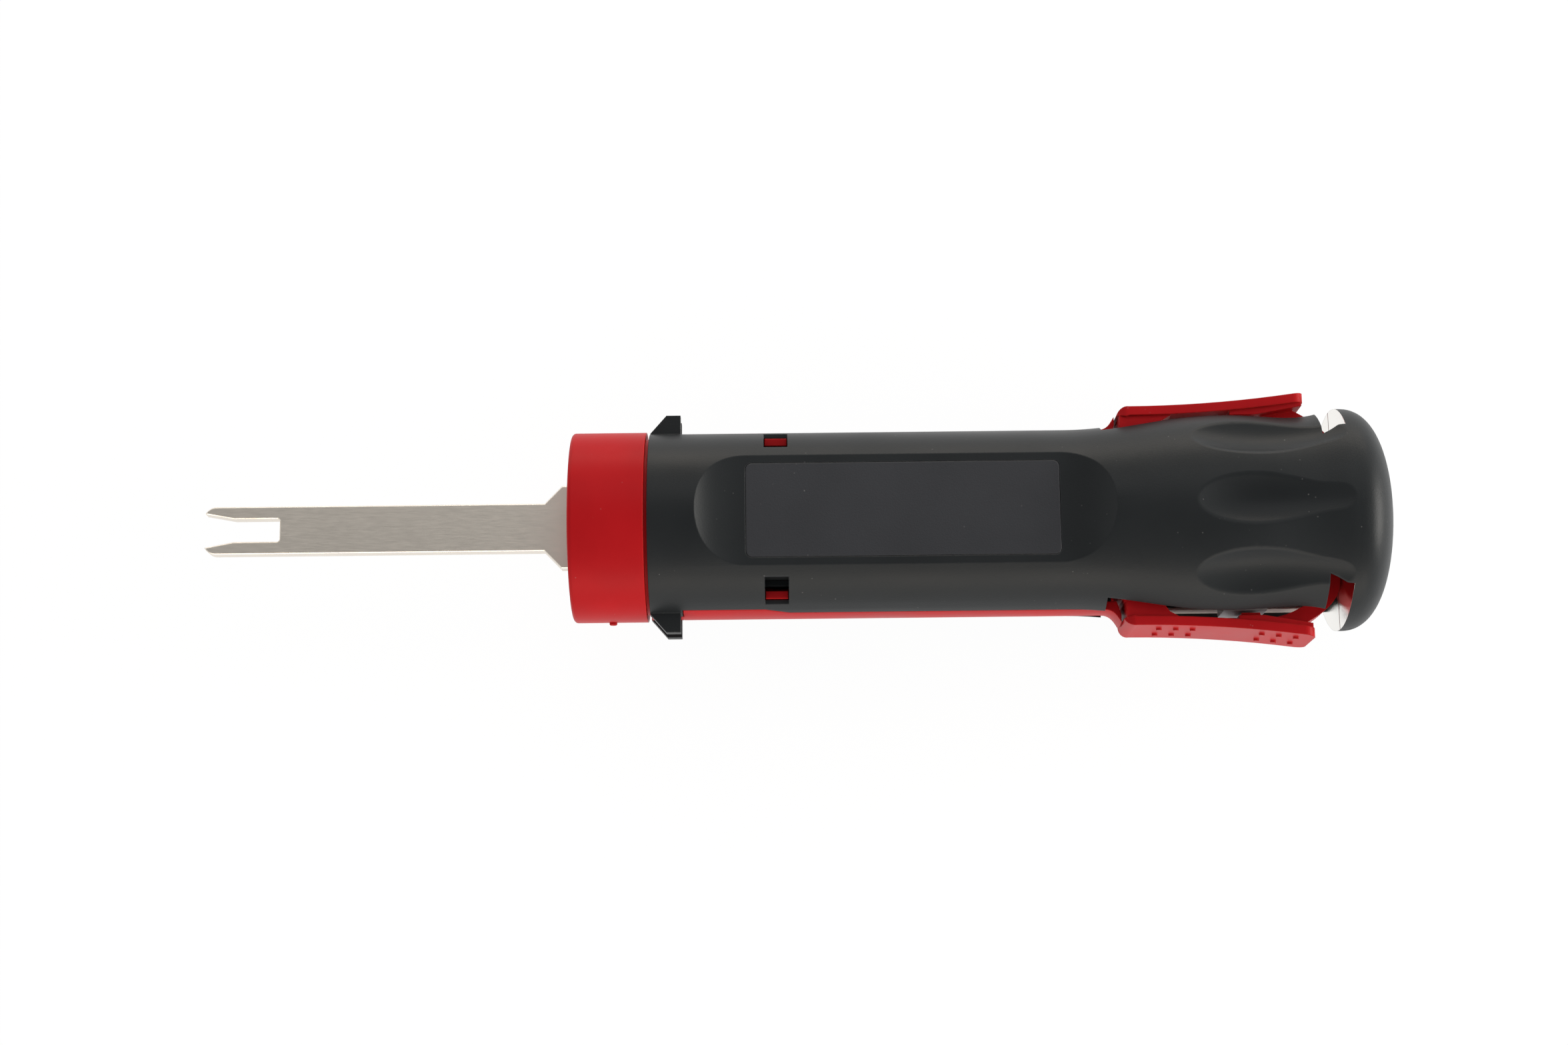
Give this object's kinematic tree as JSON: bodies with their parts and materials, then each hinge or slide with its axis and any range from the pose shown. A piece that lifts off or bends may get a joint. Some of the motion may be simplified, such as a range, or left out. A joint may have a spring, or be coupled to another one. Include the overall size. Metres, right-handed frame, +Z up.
{
  "type": "terminal release tool",
  "caption": "Hand tool with a forked flat steel blade held in a round grip; two sprung side levers open an inner clamp so the blade can be drawn out.",
  "frame": {"origin": "on the tool's axis at the front end of the nose collar's round seat", "axes": "+X along the tool towards the domed cap, blade towards -X; +Y towards the left lever; +Z up through the upper shell; the shells part at Z = 0"},
  "size_m": [0.1502, 0.0314, 0.0283],
  "materials": {
    "black_plastic": "satin moulded plastic",
    "marking_plastic": "fine matt plastic, left bare",
    "red_plastic": "satin moulded plastic",
    "blade_steel": "fine satin spring steel",
    "inner_steel": "plain ground steel",
    "fastener_steel": "bright plated steel",
    "pad_rubber": "matt hard rubber"
  },
  "bodies": {
    "handle": {"upper_shell": "black_plastic", "lower_shell": "black_plastic", "upper_marking_plate": "marking_plastic", "lower_marking_plate": "marking_plastic", "upper_slot_strips": "inner_steel", "lower_slot_strips": "inner_steel", "nose_collar": "red_plastic", "blade_guide": "inner_steel", "carrier_tray": "red_plastic", "carrier_cover": "red_plastic", "shell_screws": "fastener_steel", "carrier_screws": "fastener_steel", "left_lever_pin": "fastener_steel", "right_lever_pin": "fastener_steel", "left_jaw_pin": "fastener_steel", "right_jaw_pin": "fastener_steel", "clamp_spring": "fastener_steel"},
    "blade": {"blade": "blade_steel"},
    "left_lever": {"left_lever": "red_plastic"},
    "right_lever": {"right_lever": "red_plastic"},
    "left_jaw": {"left_jaw": "inner_steel", "left_jaw_pad": "pad_rubber"},
    "right_jaw": {"right_jaw": "inner_steel", "right_jaw_pad": "pad_rubber"}
  },
  "joints": [
    {"name": "left_lever_press", "type": "hinge", "parent": "handle", "child": "left_lever", "pos_m": [0.07, 0.009, 0], "axis": [0, 0, -1], "range_deg": [0, 5], "stiffness_Nm_per_rad": 0.3, "springref_deg": -2.86, "deforming": ["clamp_spring"]},
    {"name": "right_lever_press", "type": "hinge", "parent": "handle", "child": "right_lever", "pos_m": [0.07, -0.009, 0], "axis": [0, 0, 1], "range_deg": [0, 5], "stiffness_Nm_per_rad": 0.3, "springref_deg": -2.86, "deforming": ["clamp_spring"]},
    {"name": "left_jaw_turn", "type": "hinge", "parent": "handle", "child": "left_jaw", "pos_m": [0.046, 0.007, 0], "axis": [0, 0, -1], "range_deg": [0, 1.95]},
    {"name": "right_jaw_turn", "type": "hinge", "parent": "handle", "child": "right_jaw", "pos_m": [0.046, -0.007, 0], "axis": [0, 0, 1], "range_deg": [0, 1.95]},
    {"name": "blade_slide", "type": "slide", "parent": "handle", "child": "blade", "axis": [-1, 0, 0], "range_m": [0, 0.025]}
  ],
  "couplings": [
    {"joint": "left_jaw_turn", "follows": "left_lever_press", "ratio": 0.383},
    {"joint": "right_jaw_turn", "follows": "right_lever_press", "ratio": 0.383}
  ]
}
